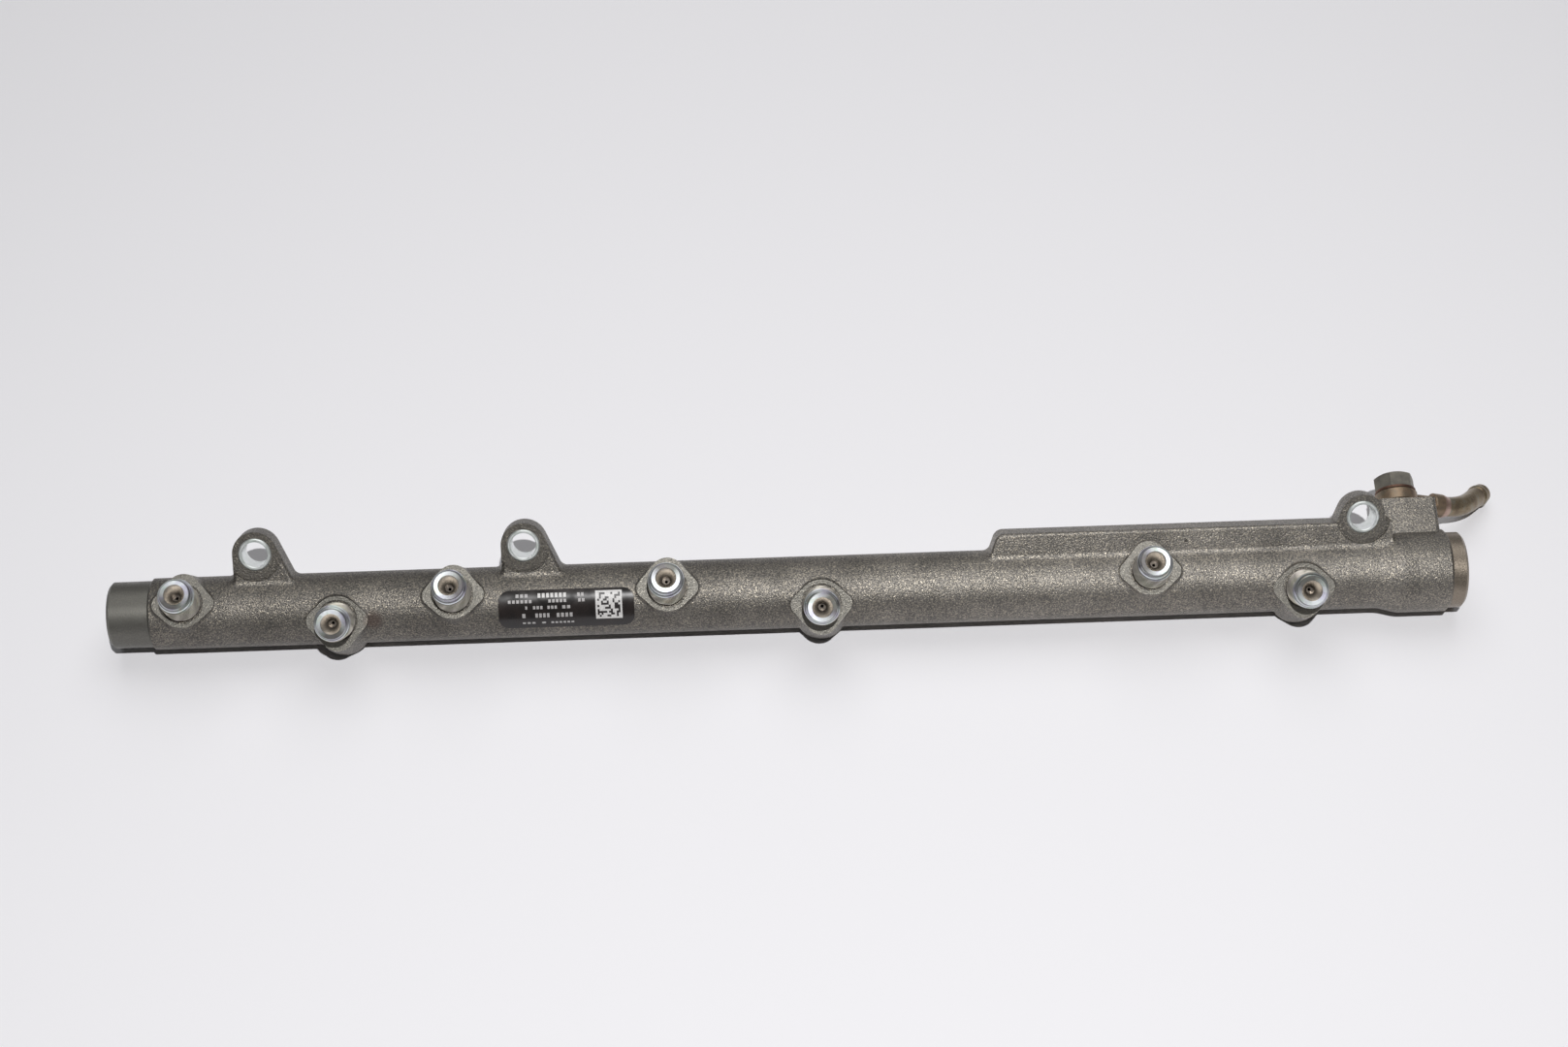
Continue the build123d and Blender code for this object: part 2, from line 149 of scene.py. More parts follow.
def forgedSteel():
    # Drop-forged steel, shot-blasted and lightly oiled: grey, and sparkling only where the light strikes it.
    # The pads are milled and the collars turned, so they are smoother there.
    material, tree = newMaterial("forged_steel_shot_blasted")
    place = addNode(tree, "ShaderNodeTexCoord")
    where, facing = place.outputs["Object"], place.outputs["Normal"]
    grain = addNode(tree, "ShaderNodeTexNoise", {
        "Vector": where, "Scale": 1 / (forging["grain"] * mm), "Detail": 2.0, "Roughness": 0.6})
    fine = addNode(tree, "ShaderNodeTexNoise", {
        "Vector": where, "Scale": 1 / (forging["fineGrain"] * mm), "Detail": 1.0})
    patches = addNode(tree, "ShaderNodeTexNoise", {
        "Vector": where, "Scale": 1 / (forging["patches"] * mm), "Detail": 3.0})
    share = forging["grainShare"]
    mixed = addNode(tree, "ShaderNodeMath", {0: grain, 1: share}, operation="MULTIPLY")
    mixed = addNode(tree, "ShaderNodeMath", {0: fine, 1: 1 - share, 2: mixed}, operation="MULTIPLY_ADD")
    colour = addNode(tree, "ShaderNodeValToRGB", {0: mixed}, stops=forging["tones"])
    darkest, brightest = forging["patchShades"]
    shade = addNode(tree, "ShaderNodeMapRange", {
        "Value": patches, "From Min": noiseLow, "From Max": noiseHigh,
        "To Min": darkest, "To Max": brightest})
    colour = addNode(tree, "ShaderNodeVectorMath", {0: colour, 1: shade}, operation="MULTIPLY")
    along = addNode(tree, "ShaderNodeSeparateXYZ", {0: where}).outputs["X"]
    # painted light: the colour grows paler towards the thick end
    left, right = forging["paintedLightAlong"]
    paintedLightAlong = addNode(tree, "ShaderNodeMapRange", {
        "Value": along, "From Min": left[0] * mm, "From Max": right[0] * mm,
        "To Min": left[1], "To Max": right[1]}, interpolation_type="SMOOTHSTEP")
    colour = addNode(tree, "ShaderNodeVectorMath", {0: colour, 1: paintedLightAlong}, operation="MULTIPLY")

    # milled tops of the two rows of pads, and the spotfaces
    faces = []
    for clock, height in (
        (rail["upperClock"], rail["padHeight"]),
        (rail["lowerClock"], rail["padHeight"]),
        (rail["boltClock"], rail["spotfaceHeight"]),
    ):
        outward = clockAxes(clock)[0]
        level = addNode(tree, "ShaderNodeVectorMath", {0: where, 1: outward}, operation="DOT_PRODUCT")
        level = addNode(tree, "ShaderNodeMath", {
            0: level.outputs["Value"], 1: height * mm, 2: forging["padLevel"] * mm}, operation="COMPARE")
        flat = addNode(tree, "ShaderNodeVectorMath", {0: facing, 1: outward}, operation="DOT_PRODUCT")
        flat = addNode(tree, "ShaderNodeMath", {
            0: flat.outputs["Value"], 1: forging["flatWithin"]}, operation="GREATER_THAN")
        faces.append(addNode(tree, "ShaderNodeMath", {0: level, 1: flat}, operation="MULTIPLY"))
    milled = addNode(tree, "ShaderNodeMath", {0: faces[0], 1: faces[1]}, operation="MAXIMUM")
    leftEnd, rightEnd = rail["collarEnds"]
    leftCollar = addNode(tree, "ShaderNodeMath", {0: along, 1: leftEnd * mm}, operation="LESS_THAN")
    rightCollar = addNode(tree, "ShaderNodeMath", {0: along, 1: rightEnd * mm}, operation="GREATER_THAN")
    # milled faces and collars take their own colours; the spotfaces take a painted shade
    for mask, cover in (
        (milled, "milled"), (faces[2], "paintedSeatShade"), (leftCollar, "leftCollar"), (rightCollar, "rightCollar"),
    ):
        code, share = forging[cover]
        amount = addNode(tree, "ShaderNodeMath", {0: mask, 1: share}, operation="MULTIPLY")
        colour = addNode(tree, "ShaderNodeMix", {
            0: amount, 6: colour, 7: linearColour(code)}, data_type="RGBA")
    turned = addNode(tree, "ShaderNodeMath", {0: leftCollar, 1: rightCollar}, operation="MAXIMUM")

    # painted shade: the colour darkens in the hollows, where shade falls
    paintedShade = addNode(tree, "ShaderNodeAmbientOcclusion", {"Distance": forging["paintedShadeReach"] * mm}, samples=8)
    closed, wideOpen = forging["paintedShadeRange"]
    paintedShade = addNode(tree, "ShaderNodeMapRange", {
        "Value": paintedShade.outputs["AO"], "From Min": closed, "From Max": wideOpen,
        "To Min": forging["paintedShadeLevel"], "To Max": 1.0})
    colour = addNode(tree, "ShaderNodeVectorMath", {0: colour, 1: paintedShade}, operation="MULTIPLY")

    # a faint reddish stain below the second pad, and painted shade for two small pits on the rib
    for spotPlace, radius, code, strength in forging["spots"]:
        centre = Vector(spotPlace) * mm
        spot = addNode(tree, "ShaderNodeVectorMath", {0: where, 1: centre}, operation="DISTANCE")
        spot = addNode(tree, "ShaderNodeMapRange", {
            "Value": spot.outputs["Value"],
            "From Min": radius * forging["spotCore"] * mm, "From Max": radius * mm,
            "To Min": strength, "To Max": 0.0})
        colour = addNode(tree, "ShaderNodeMix", {0: spot, 6: colour, 7: linearColour(code)}, data_type="RGBA")

    depth = addNode(tree, "ShaderNodeMath", {
        0: turned, 1: -forging["turnedSmoother"], 2: 1.0}, operation="MULTIPLY_ADD")
    depth = addNode(tree, "ShaderNodeMath", {
        0: milled, 1: -forging["milledSmoother"], 2: depth}, operation="MULTIPLY_ADD")
    bump = addNode(tree, "ShaderNodeBump", {
        "Height": mixed, "Strength": depth, "Distance": forging["bumpDepth"] * mm})
    dull, bright = forging["roughness"]
    pits, rims = forging["glossRange"]
    gloss = addNode(tree, "ShaderNodeMapRange", {
        "Value": mixed, "From Min": pits, "From Max": rims, "To Min": dull, "To Max": bright})
    gloss = addNode(tree, "ShaderNodeMath", {
        0: rightCollar, 1: -forging["rightCollarPolish"], 2: gloss}, operation="MULTIPLY_ADD")
    surface = addNode(tree, "ShaderNodeBsdfPrincipled", {
        "Base Color": colour, "Metallic": forging["metallic"], "Roughness": gloss, "Normal": bump})
    addNode(tree, "ShaderNodeOutputMaterial", {"Surface": surface})
    return material


metals = {                       # material, tints, roughness, grain, bump depth, metallic
    # zinc plate on turned sleeves: smooth, nearly white and a little milky
    "sleeve": ("zinc_plating_sleeve", ("#d6ddd8", "#e6eae8", "#eef1f2"), 0.36, 1.6, 0.01, 0.85),
    # hardened and ground steel, its colour darkened as painted shade down in the bore
    "insert": ("insert_steel_ground_painted_shade", ("#4f4a45", "#6e675f"), 0.35, 0.5, 0.02, 1.0),
    # phosphated and oiled steel: a dull grey with a fine grain
    "bolt": ("bolt_steel_phosphated", ("#6c6963", "#8d897e"), 0.5, 0.5, 0.05, 0.85),
    # turned steel, browned by the heat of brazing
    "fitting": ("fitting_steel_turned", ("#75665a", "#8f7c68", "#7d7263"), 0.38, 0.6, 0.04, 0.9),
    # drawn pipe in yellow-passivated zinc, worn brown and grey in clouds
    "pipe": ("pipe_steel_yellow_zinc", ("#6f6152", "#8a7c66", "#8d887c"), 0.32, 0.8, 0.04, 0.9),
    # annealed copper, pressed flat and tarnished
    "copper": ("washer_copper_soft", ("#5d483e", "#775c50"), 0.5, 0.6, 0.04, 1.0),
    # copper that ran out and froze: pink and smooth
    "braze": ("braze_copper_flowed", ("#967c70", "#b8a093"), 0.34, 0.9, 0.06, 1.0),
}
metalWear = {
    "clouds": 4.0,               # across one cloud of tint
    "swing": (0.8, 1.25),        # of the roughness, from polished marks to dull ones
    "bump": 0.6,
}


def plainMetal(name, tints, roughness, grain, bumpDepth, metallic):
    # Soft cloudy tints and a fine machining grain.
    material, tree = newMaterial(name)
    where = addNode(tree, "ShaderNodeTexCoord").outputs["Object"]
    clouds = addNode(tree, "ShaderNodeTexNoise", {
        "Vector": where, "Scale": 1 / (metalWear["clouds"] * mm), "Detail": 3.0})
    step = (noiseHigh - noiseLow) / (len(tints) - 1)
    tint = addNode(tree, "ShaderNodeValToRGB", {0: clouds}, stops=[
        (noiseLow + step * i, code) for i, code in enumerate(tints)])
    marks = addNode(tree, "ShaderNodeTexNoise", {"Vector": where, "Scale": 1 / (grain * mm), "Detail": 2.0})
    polished, dull = metalWear["swing"]
    worn = addNode(tree, "ShaderNodeMapRange", {
        "Value": marks, "From Min": noiseLow, "From Max": noiseHigh,
        "To Min": roughness * polished, "To Max": roughness * dull})
    bump = addNode(tree, "ShaderNodeBump", {
        "Height": marks, "Strength": metalWear["bump"], "Distance": bumpDepth * mm})
    surface = addNode(tree, "ShaderNodeBsdfPrincipled", {
        "Base Color": tint, "Metallic": metallic, "Roughness": worn, "Normal": bump})
    addNode(tree, "ShaderNodeOutputMaterial", {"Surface": surface})
    return material


plating = {
    "clouds": 5.0,
    "tints": [(0.34, "#d3d2e2"), (0.44, "#e2e7ec"), (0.54, "#e8ecee"), (0.62, "#d6e4e0"), (0.72, "#e6e2d8")],
    "thin": "#b3a58b",
    "paintedRootShade": ("#45403a", 0.9),    # painted shade at the bottom of the thread: colour, and how far it covers the plating
    "bare": "#a59f97",
    "thinZone": (0.1, 0.5),      # values of "zone" where each begins and is full
    "bareZone": (0.6, 1.0),
    "marks": 0.5,
    "markDepth": 0.02,
    "bump": 0.5,
    "roughness": (0.30, 0.42),
}


def zincPlating():
    # Bright zinc, blue and yellow passivated: cool white with faint green and violet tints.
    # The attribute "zone" is 1 in the bare steel cone and 0.5 where the plating is thin and brownish,
    # and "root" is 1 at the bottom of the thread, where the colour is darkened as painted shade.
    material, tree = newMaterial("zinc_plating_bright")
    where = addNode(tree, "ShaderNodeTexCoord").outputs["Object"]
    zone = addNode(tree, "ShaderNodeAttribute", attribute_name="zone").outputs["Fac"]
    root = addNode(tree, "ShaderNodeAttribute", attribute_name="root").outputs["Fac"]
    clouds = addNode(tree, "ShaderNodeTexNoise", {
        "Vector": where, "Scale": 1 / (plating["clouds"] * mm), "Detail": 2.0, "Distortion": 0.6})
    colour = addNode(tree, "ShaderNodeValToRGB", {0: clouds}, stops=plating["tints"])
    begins, full = plating["thinZone"]
    thin = addNode(tree, "ShaderNodeMapRange", {"Value": zone, "From Min": begins, "From Max": full})
    begins, full = plating["bareZone"]
    bare = addNode(tree, "ShaderNodeMapRange", {"Value": zone, "From Min": begins, "From Max": full})
    # painted shade darkens the bottom of the thread
    rootShadeColour, rootShadeShare = plating["paintedRootShade"]
    paintedRootShade = addNode(tree, "ShaderNodeMath", {0: root, 1: rootShadeShare}, operation="MULTIPLY")
    for mask, code in ((thin, plating["thin"]), (paintedRootShade, rootShadeColour), (bare, plating["bare"])):
        colour = addNode(tree, "ShaderNodeMix", {0: mask, 6: colour, 7: linearColour(code)}, data_type="RGBA")
    marks = addNode(tree, "ShaderNodeTexNoise", {
        "Vector": where, "Scale": 1 / (plating["marks"] * mm), "Detail": 2.0})
    bright, dull = plating["roughness"]
    gloss = addNode(tree, "ShaderNodeMapRange", {
        "Value": marks, "From Min": noiseLow, "From Max": noiseHigh, "To Min": bright, "To Max": dull})
    bump = addNode(tree, "ShaderNodeBump", {
        "Height": marks, "Strength": plating["bump"], "Distance": plating["markDepth"] * mm})
    surface = addNode(tree, "ShaderNodeBsdfPrincipled", {
        "Base Color": colour, "Metallic": 1.0, "Roughness": gloss, "Normal": bump})
    addNode(tree, "ShaderNodeOutputMaterial", {"Surface": surface})
    return material


film = {
    "scuffs": 6.0,
    "tones": [(0.35, "#0e0908"), (0.7, "#1d1411")],
    "roughness": (0.16, 0.28),
    "ior": 1.55,
}


def labelFilm():
    # Black polyester label film: smooth, glossy and a little warm where it is scuffed.
    material, tree = newMaterial("label_film_polyester")
    where = addNode(tree, "ShaderNodeTexCoord").outputs["Object"]
    scuffs = addNode(tree, "ShaderNodeTexNoise", {
        "Vector": where, "Scale": 1 / (film["scuffs"] * mm), "Detail": 4.0})
    colour = addNode(tree, "ShaderNodeValToRGB", {0: scuffs}, stops=film["tones"])
    glossy, scuffed = film["roughness"]
    gloss = addNode(tree, "ShaderNodeMapRange", {
        "Value": scuffs, "From Min": noiseLow, "From Max": noiseHigh, "To Min": glossy, "To Max": scuffed})
    surface = addNode(tree, "ShaderNodeBsdfPrincipled", {
        "Base Color": colour, "Roughness": gloss, "IOR": film["ior"]})
    addNode(tree, "ShaderNodeOutputMaterial", {"Surface": surface})
    return material


inks = {
    "inkWhite": ("label_ink_white", "#dcdad8"),
    "inkGrey": ("label_ink_grey", "#b4b1b0"),
    "inkBlack": ("label_ink_black", "#171010"),
}
inkCover = {"grain": 0.6, "thinnest": 0.72, "roughness": 0.4}


def printInk(name, code):
    # Thermal transfer ink: matt, and thinner in places.
    material, tree = newMaterial(name)
    where = addNode(tree, "ShaderNodeTexCoord").outputs["Object"]
    cover = addNode(tree, "ShaderNodeTexNoise", {
        "Vector": where, "Scale": 1 / (inkCover["grain"] * mm), "Detail": 2.0})
    shade = addNode(tree, "ShaderNodeMapRange", {
        "Value": cover, "From Min": noiseLow, "From Max": noiseHigh,
        "To Min": inkCover["thinnest"], "To Max": 1.0})
    colour = addNode(tree, "ShaderNodeVectorMath", {
        0: linearColour(code)[:3], 1: shade}, operation="MULTIPLY")
    surface = addNode(tree, "ShaderNodeBsdfPrincipled", {
        "Base Color": colour, "Roughness": inkCover["roughness"]})
    addNode(tree, "ShaderNodeOutputMaterial", {"Surface": surface})
    return material


finishes = {"forgedSteel": forgedSteel(), "zinc": zincPlating(), "labelFilm": labelFilm()}
finishes.update({key: plainMetal(*values) for key, values in metals.items()})
finishes.update({key: printInk(*values) for key, values in inks.items()})
print("materials made")

carried = {                      # nodes whose solids stay, and their finishes
    "banjo_fitting": "fitting",
    "banjo_bolt": "bolt",
    "return_pipe": "pipe",
    "sealing_washer_seat": "copper",
    "sealing_washer_head": "copper",
    "data_label": "labelFilm",
}
carried.update({f"throttle_insert_{i}": "insert" for i in range(1, 8)})
carried.update({f"mounting_sleeve_{side}": "sleeve" for side in ("left", "middle", "right")})
for nodeName, finish in carried.items():
    for place in parts[nodeName].material_slots:
        place.material = finishes[finish]


def meshObject(name, mesh):
    made = bpy.data.objects.new(name, mesh)
    bpy.context.scene.collection.objects.link(made)
    return made


def meshAsShown(made):
    graph = bpy.context.evaluated_depsgraph_get()
    return bpy.data.meshes.new_from_object(made.evaluated_get(graph))


def smoothExceptEdges(mesh, edgeAngle):
    mesh.shade_smooth()
    mesh.set_sharp_from_angle(angle=math.radians(edgeAngle))


def latheMesh(name, section, segments):        # section: closed, of (radius, height, zone), turned about Z
    mesh = bpy.data.meshes.new(name)
    builder = bmesh.new()
    zone = builder.verts.layers.float.new("zone")
    rings = []
    for k in range(segments):
        angle = 2 * math.pi * k / segments
        cosine, sine = math.cos(angle), math.sin(angle)
        ring = []
        for radius, height, value in section:
            vert = builder.verts.new((radius * mm * cosine, radius * mm * sine, height * mm))
            vert[zone] = value
            ring.append(vert)
        rings.append(ring)
    for k, ring in enumerate(rings):
        after = rings[(k + 1) % segments]
        for i in range(len(ring)):
            j = (i + 1) % len(ring)
            builder.faces.new((ring[i], after[i], after[j], ring[j]))
    bmesh.ops.recalc_face_normals(builder, faces=builder.faces)
    builder.to_mesh(mesh)
    builder.free()
    return mesh


def newTree(name, sizes):                      # a geometry tree with named inputs for its sizes
    tree = bpy.data.node_groups.new(name, "GeometryNodeTree")
    tree.interface.new_socket("Geometry", in_out="INPUT", socket_type="NodeSocketGeometry")
    for label, value in sizes.items():
        kind = "NodeSocketInt" if isinstance(value, int) else "NodeSocketFloat"
        if isinstance(value, bpy.types.Object):
            kind = "NodeSocketObject"
        tree.interface.new_socket(label, in_out="INPUT", socket_type=kind)
    tree.interface.new_socket("Geometry", in_out="OUTPUT", socket_type="NodeSocketGeometry")
    return tree


def builtByTree(name, start, tree, sizes, edgeAngle):      # runs a tree on a mesh and keeps a plain mesh
    source = meshObject(name + "_source", start)
    modifier = source.modifiers.new("rule", "NODES")
    modifier.node_group = tree
    for item in tree.interface.items_tree:
        if item.in_out == "INPUT" and item.name in sizes:
            modifier[item.identifier] = sizes[item.name]
    mesh = meshAsShown(source)
    source.modifiers.remove(modifier)
    bpy.data.objects.remove(source)
    smoothExceptEdges(mesh, edgeAngle)
    return meshObject(name, mesh)


sensorEnd = {
    "radius": 12.62,             # turned collar
    "start": 10.5,               # the solid's collar is right as far as here
    "end": 15.6,                 # a small cone runs from here up to the tube
    "toolReach": 26.0,
    "segments": 128,
    "mergeWithin": 0.0005,
    "edgeAngle": 28.0,
}


def makeRail():
    # The sensor end is turned further along than in the solid, through the tip of the first boss.
    start, stepEnd, reach = sensorEnd["start"], rail["collarEnds"][0], sensorEnd["toolReach"]
    tool = latheMesh("turning_tool", [
        (sensorEnd["radius"], start, 0.0),
        (sensorEnd["radius"], sensorEnd["end"], 0.0),
        (rail["tubeRadius"], stepEnd, 0.0),
        (reach, stepEnd, 0.0),
        (reach, start, 0.0),
    ], sensorEnd["segments"])
    tool.transform(Matrix.Rotation(math.radians(90), 4, "Y"))
    cutter = meshObject("turning_tool", tool)
    builder = bmesh.new()
    builder.from_mesh(parts["rail_body"].data)
    bmesh.ops.remove_doubles(builder, verts=builder.verts, dist=sensorEnd["mergeWithin"] * mm)
    mesh = bpy.data.meshes.new("forged_rail")
    builder.to_mesh(mesh)
    builder.free()
    mesh.attributes.remove(mesh.attributes["custom_normal"])     # worked out again once it is turned
    mesh.materials.append(finishes["forgedSteel"])
    body = meshObject("forged_rail", mesh)
    turning = body.modifiers.new("turning", "BOOLEAN")
    turning.operation = "DIFFERENCE"
    turning.solver = "EXACT"
    turning.object = cutter
    body.data = meshAsShown(body)
    body.modifiers.clear()
    smoothExceptEdges(body.data, sensorEnd["edgeAngle"])
    shading = body.modifiers.new("shading", "WEIGHTED_NORMAL")
    shading.keep_sharp = True
    body.data = meshAsShown(body)
    body.modifiers.clear()
    bpy.data.objects.remove(cutter)
    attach(body, "root")
    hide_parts("rail_body")


makeRail()
print("rail turned")


brazing = {
    "ringHeight": 29.7,          # middle of the banjo ring from the rail's axis
    "neckAngle": 20.0,
    "start": 19.2,               # from the bolt's axis, along the neck
    "end": 22.4,
    "pipeRadius": 3.88,
    "footRadius": 4.6,
    "footLength": 0.9,
    "footTaper": 0.02,
    "bulgeRadius": 4.35,
    "toeLength": 0.7,
    "toeHeight": 0.16,
    "segments": 48,
    "edgeAngle": 40.0,
}


def makeBrazing():
    # A ring of brazing metal that ran out round the pipe at the mouth of its socket.
    pipe, foot = brazing["pipeRadius"], brazing["footRadius"]
    start, end = brazing["start"], brazing["end"]
    mesh = latheMesh("braze_ring", [
        (pipe, start, 0.0),
        (foot, start, 0.0),
        (foot - brazing["footTaper"], start + brazing["footLength"], 0.0),
        (brazing["bulgeRadius"], (start + end) / 2, 0.0),
        (pipe + brazing["toeHeight"], end - brazing["toeLength"], 0.0),
        (pipe, end, 0.0),
    ], brazing["segments"])
    outward, sideways = clockAxes(rail["returnClock"])
    lean = math.radians(brazing["neckAngle"])
    along = Vector((1, 0, 0)) * math.cos(lean) + sideways * math.sin(lean)
    centre = Vector((rail["returnX"], 0, 0)) + outward * brazing["ringHeight"]
    mesh.transform(Matrix.Translation(centre * mm) @ along.to_track_quat("Z", "Y").to_matrix().to_4x4())
    mesh.materials.append(finishes["braze"])
    smoothExceptEdges(mesh, brazing["edgeAngle"])
    ring = meshObject("braze_ring", mesh)
    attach(ring, "root")


makeBrazing()
print("brazing run")


stub = {                         # heights are from the rail's axis
    "seatRadius": 5.95,
    "seatHeight": 7.4,
    "recessFloor": 13.1,
    "runoutRadius": 6.25,
    "runoutTop": 14.3,
    "threadRadius": 7.0,
    "threadPitch": 1.5,
    "threadDepth": 0.92,
    "threadLift": 0.2,           # the thread fades in from here above the run-out
    "threadFlank": (0.06, 0.40),   # from the middle of the crest to its edge and to the root, in pitches
    "threadTop": 25.5,
    "leadTop": 27.0,
    "stepRadius": 6.2,
    "stepTop": 27.9,
    "noseRadius": 5.55,
    "noseEdge": 0.2,
    "top": 28.8,
    "coneRadius": 3.75,
    "coneAngle": 60.0,
    "coneRim": (0.15, 0.1),      # width and depth of the worn edge of the plating round the cone
    "throatRadius": 1.55,
    "ringStep": 0.17,            # between the rings of points that carry the thread
    "segments": 60,
    "turnStep": 1.7,             # radians from one stub's thread start to the next one's
    "edgeAngle": 30.0,
}
# how far the plating is worn off
zones = {"plated": 0.0, "lead": 0.1, "neck": 0.2, "thread": 0.35, "thin": 0.5, "bare": 1.0}


def stubSection():
    # A stub's outline from its foot up over the thread and the nose, and back down into the cone.
    plated, thin, bare = zones["plated"], zones["thin"], zones["bare"]
    nose, cone, throat, top = stub["noseRadius"], stub["coneRadius"], stub["throatRadius"], stub["top"]
    rimWidth, rimDepth = stub["coneRim"]
    threadFoot = stub["runoutTop"] + stub["threadRadius"] - stub["runoutRadius"]
    threadLength = stub["leadTop"] - threadFoot
    section = [
        (throat, stub["seatHeight"], bare),
        (stub["seatRadius"], stub["seatHeight"], thin),
        (stub["seatRadius"], stub["recessFloor"], thin),
        (stub["runoutRadius"], stub["recessFloor"], thin),
        (stub["runoutRadius"], stub["runoutTop"], thin),
    ]
    rows = math.ceil(threadLength / stub["ringStep"])
    for i in range(rows + 1):
        height = threadFoot + threadLength * i / rows
        lead = max(0.0, (height - stub["threadTop"]) / (stub["leadTop"] - stub["threadTop"]))
        radius = stub["threadRadius"] + lead * (stub["stepRadius"] - stub["threadRadius"])
        section.append((radius, height, zones["thread"] if height < stub["threadTop"] else zones["lead"]))
    section += [
        (stub["stepRadius"], stub["stepTop"] - (stub["stepRadius"] - nose), plated),
        (nose, stub["stepTop"], zones["neck"]),
        (nose, top - stub["noseEdge"], plated),
        (nose - stub["noseEdge"], top, plated),
        (cone + rimWidth, top, plated),
        (cone, top - rimDepth, bare),
        (throat, top - (cone - throat) / math.tan(math.radians(stub["coneAngle"] / 2)), bare),
    ]
    return section


def threadTree(sizes):
    # Presses a helical thread into a turned blank and sets one stub at each station.
    tree = newTree("rolled_thread", sizes)
    given = addNode(tree, "NodeGroupInput").outputs
    blank = addNode(tree, "GeometryNodeObjectInfo", {"Object": given["Blank"]})
    place = addNode(tree, "ShaderNodeSeparateXYZ", {0: addNode(tree, "GeometryNodeInputPosition")})
    x, y, z = place.outputs
    angle = addNode(tree, "ShaderNodeMath", {0: y, 1: x}, operation="ARCTAN2")
    turns = addNode(tree, "ShaderNodeMath", {0: angle, 1: 2 * math.pi}, operation="DIVIDE")
    rise = addNode(tree, "ShaderNodeMath", {0: z, 1: given["Pitch"]}, operation="DIVIDE")
    phase = addNode(tree, "ShaderNodeMath", {0: rise, 1: turns}, operation="SUBTRACT")
    wave = addNode(tree, "ShaderNodeMath", {0: phase, 1: 0.5}, operation="PINGPONG")
    crest, root = stub["threadFlank"]
    wave = addNode(tree, "ShaderNodeMapRange", {"Value": wave, "From Min": crest, "From Max": root})
    firstTurn = addNode(tree, "ShaderNodeMath", {0: given["Thread Foot"], 1: given["Pitch"]})
    fade = addNode(tree, "ShaderNodeMapRange", {
        "Value": z, "From Min": given["Thread Foot"], "From Max": firstTurn})
    cutShare = addNode(tree, "ShaderNodeMath", {0: wave, 1: fade}, operation="MULTIPLY")
    depth = addNode(tree, "ShaderNodeMath", {0: cutShare, 1: given["Depth"]}, operation="MULTIPLY")
    thread = addNode(tree, "ShaderNodeMath", {0: given["Radius"], 1: depth}, operation="SUBTRACT")
    flat = addNode(tree, "ShaderNodeCombineXYZ", {"X": x, "Y": y})
    radius = addNode(tree, "ShaderNodeVectorMath", {0: flat}, operation="LENGTH").outputs["Value"]
    wanted = addNode(tree, "ShaderNodeMath", {0: radius, 1: thread}, operation="MINIMUM")
    share = addNode(tree, "ShaderNodeMath", {0: wanted, 1: radius}, operation="DIVIDE")
    shift = addNode(tree, "ShaderNodeMath", {0: share, 1: 1.0}, operation="SUBTRACT")
    offset = addNode(tree, "ShaderNodeVectorMath", {0: flat, "Scale": shift}, operation="SCALE")
    cut = addNode(tree, "GeometryNodeSetPosition", {"Geometry": blank.outputs["Geometry"], "Offset": offset})
    depthShare = addNode(tree, "ShaderNodeMath", {0: depth, 1: given["Depth"]}, operation="DIVIDE")
    cut = addNode(tree, "GeometryNodeStoreNamedAttribute", {
        "Geometry": cut, "Name": "root", "Value": depthShare})
    turn = addNode(tree, "GeometryNodeInputNamedAttribute", {"Name": "turn"}, data_type="QUATERNION")
    placed = addNode(tree, "GeometryNodeInstanceOnPoints", {
        "Points": given["Geometry"], "Instance": cut, "Rotation": turn.outputs["Attribute"]})
    real = addNode(tree, "GeometryNodeRealizeInstances", {0: placed})
    painted = addNode(tree, "GeometryNodeSetMaterial", {"Geometry": real, "Material": finishes["zinc"]})
    addNode(tree, "NodeGroupOutput", {0: painted})
    return tree


def makeConnectors():
    blank = meshObject("stub_blank", latheMesh("stub_blank", stubSection(), stub["segments"]))
    rows = [(x, rail["upperClock"], 0.0) for x in rail["upperStations"]]
    rows += [(x, rail["lowerClock"], rail["lowerAside"]) for x in rail["lowerStations"]]
    places = []
    turns = []
    for number, (x, clock, aside) in enumerate(rows):
        sideways = clockAxes(clock)[1]
        places.append(Vector((x, 0, 0)) * mm + sideways * aside * mm)
        lean = Quaternion((1, 0, 0), -math.radians(clock + rail["lyingRoll"]))
        turns.extend(lean @ Quaternion((0, 0, 1), stub["turnStep"] * number))
    stations = bpy.data.meshes.new("stations")
    stations.from_pydata(places, [], [])
    stations.attributes.new("turn", "QUATERNION", "POINT").data.foreach_set("value", turns)
    sizes = {
        "Blank": blank,
        "Pitch": stub["threadPitch"] * mm,
        "Depth": stub["threadDepth"] * mm,
        "Radius": stub["threadRadius"] * mm,
        "Thread Foot": (stub["runoutTop"] + stub["threadLift"]) * mm,
    }
    connectors = builtByTree("pressure_connectors", stations, threadTree(sizes), sizes, stub["edgeAngle"])
    bpy.data.objects.remove(blank)
    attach(connectors, "root")
    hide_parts(*[f"pressure_connector_{i}" for i in range(1, 8)])


makeConnectors()
print("connectors made")


